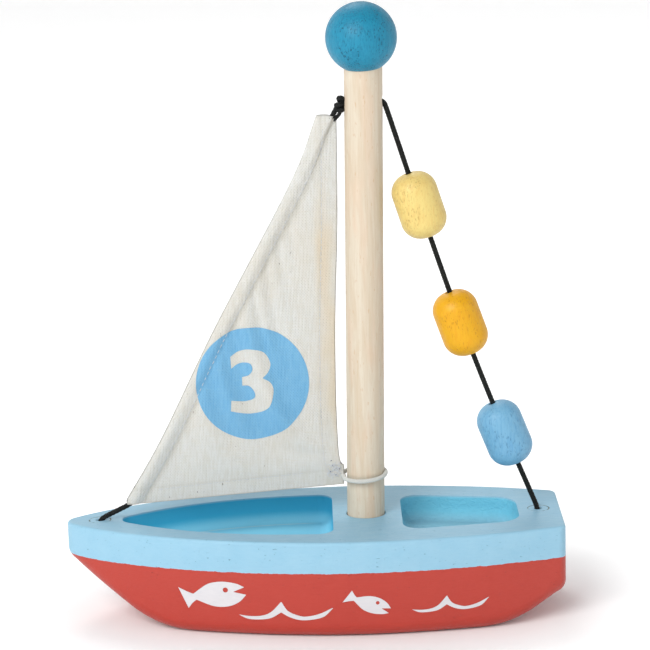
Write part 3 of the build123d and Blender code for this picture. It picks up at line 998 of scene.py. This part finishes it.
def fish_outlines(middle, length, tilt, plump):
    """A plain fish that faces the stern, with an open mouth and a round eye.

    plump scales its height, and turns its outline upside down when negative.
    """
    body = smooth_outline(
        [(-0.49, 0.14), (-0.37, 0.07), (-0.28, 0.03)],
        [(-0.28, 0.03), (-0.08, 0.155), (0.05, 0.19), (0.20, 0.19), (0.37, 0.15), (0.48, 0.09)],
        [(0.48, 0.09), (0.31, 0.03)],
        [(0.31, 0.03), (0.495, -0.026)],
        [(0.495, -0.026), (0.38, -0.127), (0.21, -0.185), (0.0, -0.17), (-0.244, -0.062)],
        [(-0.244, -0.062), (-0.31, -0.11), (-0.377, -0.185)],
        [(-0.377, -0.185), (-0.49, 0.14)],
    )
    turns = np.linspace(0, 2 * np.pi, 20, endpoint=False)
    eye = [(0.20 + 0.038 * math.cos(a), (0.065 + 0.038 * math.sin(a)) / plump) for a in turns]
    c, s = math.cos(math.radians(tilt)), math.sin(math.radians(tilt))
    return [
        [((middle[0] + length * (x * c - plump * z * s)) * MM,
          (middle[1] + length * (x * s + plump * z * c)) * MM)
         for x, z in outline]
        for outline in (body, eye)
    ]


def wave_outlines(tip, length):
    """A wave with one crest, drawn as a swelling line."""
    shape = smooth_outline(
        [(0, 0), (0.116, -0.012), (0.246, -0.003), (0.348, 0.043), (0.455, 0.157)],
        [(0.455, 0.157), (0.525, 0.055), (0.643, 0.004), (0.727, -0.003), (0.855, 0.026), (1, 0.093)],
        [(1, 0.093), (1, 0.087)],
        [(1, 0.087), (0.907, -0.003), (0.78, -0.038), (0.65, -0.043), (0.54, -0.012), (0.452, 0.038)],
        [(0.452, 0.038), (0.345, -0.026), (0.23, -0.046), (0.10, -0.043), (0, 0)],
    )
    return [[((tip[0] + length * x) * MM, (tip[1] + length * z) * MM) for x, z in shape]]


def hull_prints(ink):
    """Two fish and two waves on each side of the hull."""
    surface = tree_of(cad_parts["lower_hull"])
    for side, word in ((-1, "port"), (1, "starboard")):
        for n, fish in enumerate(FISH, 1):
            piece = printed(f"{word}_fish_{n}", fish_outlines(*fish), surface, side, ink, 1.5 * MM)
            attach(piece, "boat")
        for n, (tip, length) in enumerate(WAVES, 1):
            outlines = wave_outlines(tip, length)
            piece = printed(f"{word}_wave_{n}", outlines, surface, side, ink, 1.5 * MM)
            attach(piece, "boat")


# ---------------------------------------------------------------- finishes of the CAD nodes
BEAD_TILT = {"bead_pale_yellow": 17.6, "bead_orange": 19.3, "bead_light_blue": 21.3}
BEAD_PAINT = {
    "bead_pale_yellow": (rgb(255, 229, 142), rgb(244, 194, 104)),
    "bead_orange": (rgb(255, 190, 16), rgb(248, 166, 8)),
    "bead_light_blue": (rgb(134, 196, 232), rgb(92, 164, 214)),
}


def coat(node, material):
    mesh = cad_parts[node].data
    mesh.materials.clear()
    mesh.materials.append(material)


def finishes(black):
    blue = hull_blue()
    for node in ("upper_hull", "bow_plug", "stern_plug"):
        coat(node, blue)
    coat("lower_hull", hull_red())
    coat("mast", bare_wood())
    ball = painted("ball_blue_paint", rgb(38, 154, 190), rgb(18, 114, 152), (0, 0, 0), 0.75,
                   0.62, 0.4, Specular_IOR_Level=0.25)
    coat("masthead_ball", ball)
    for node, (light, dark) in BEAD_PAINT.items():
        turn = (0, math.radians(BEAD_TILT[node]), 0)
        coat(node, painted(f"{node}_paint", light, dark, turn, 0.45, 0.62, 0.62,
                           Specular_IOR_Level=0.35))
    for node in ("bow_stopper_knot", "stern_stopper_knot"):
        coat(node, black)


# ---------------------------------------------------------------- camera, floor and light
def camera():
    c, s = math.cos, math.sin
    yaw = Matrix(((c(CAMERA_YAW), -s(CAMERA_YAW), 0), (s(CAMERA_YAW), c(CAMERA_YAW), 0), (0, 0, 1)))
    pitch = Matrix((
        (1, 0, 0),
        (0, -s(CAMERA_PITCH), -c(CAMERA_PITCH)),
        (0, c(CAMERA_PITCH), -s(CAMERA_PITCH)),
    ))
    roll = Matrix(((c(CAMERA_ROLL), s(CAMERA_ROLL), 0), (-s(CAMERA_ROLL), c(CAMERA_ROLL), 0), (0, 0, 1)))
    right, down, ahead = roll @ pitch @ yaw
    data = bpy.data.cameras.new("camera")
    data.lens = CAMERA_LENS
    data.sensor_width = 36
    data.clip_end = 20
    eye = bpy.data.objects.new("camera", data)
    eye.matrix_world = Matrix.Translation(CAMERA_PLACE) @ Matrix(
        (right, -down, -ahead)
    ).transposed().to_4x4()
    bpy.context.scene.collection.objects.link(eye)
    bpy.context.scene.camera = eye


def sweep():
    """A pale floor that curves up into a backdrop on every side."""
    rings = [(0.0, 0.0), (1.2, 0.0), (2.2, 0.0), (2.8, 0.12), (3.2, 0.5), (3.4, 1.2), (3.4, 3.2)]
    sides = 48
    vertices, faces = [(0, 0, 0)], []
    for radius, height in rings[1:]:
        for k in range(sides):
            a = 2 * math.pi * k / sides
            vertices.append((radius * math.cos(a), radius * math.sin(a), height))
    for k in range(sides):
        faces.append((0, 1 + k, 1 + (k + 1) % sides))
    for r in range(len(rings) - 2):
        for k in range(sides):
            a, b = 1 + r * sides + k, 1 + r * sides + (k + 1) % sides
            faces.append((a, a + sides, b + sides, b))
    floor = add_piece("floor", vertices, faces, floor_white())
    floor.location.z = -0.0001


def light(name, place, target, size, power):
    data = bpy.data.lights.new(name, "AREA")
    data.shape = "DISK"
    data.size = size
    data.energy = power
    lamp = bpy.data.objects.new(name, data)
    lamp.location = place
    lamp.rotation_euler = (Vector(target) - Vector(place)).to_track_quat("-Z", "Y").to_euler()
    bpy.context.scene.collection.objects.link(lamp)


def studio():
    world = bpy.data.worlds.new("studio")
    world.use_nodes = True
    background = world.node_tree.nodes["Background"]
    background.inputs["Color"].default_value = (1, 1, 1, 1)
    background.inputs["Strength"].default_value = 0.26
    bpy.context.scene.world = world
    light("front", (-0.9, -1.5, 1.25), (0, 0, 0.08), 1.3, 31)
    light("back", (-0.2, 1.0, 1.3), (0, 0, 0.05), 0.8, 6)
    view = bpy.context.scene.view_settings
    view.view_transform = "Standard"
    view.look = "None"


camera()
sweep()
studio()
black = cord_black()
white_thread = thread("white_thread", rgb(244, 246, 248), rgb(220, 226, 232))
dark_thread = thread("dark_thread", rgb(40, 60, 110), rgb(28, 40, 80))
finishes(black)
cords(black)
elastic_loop(elastic_white())
sail(canvas(), white_thread, dark_thread, cloth_ink())
hull_prints(hull_ink())
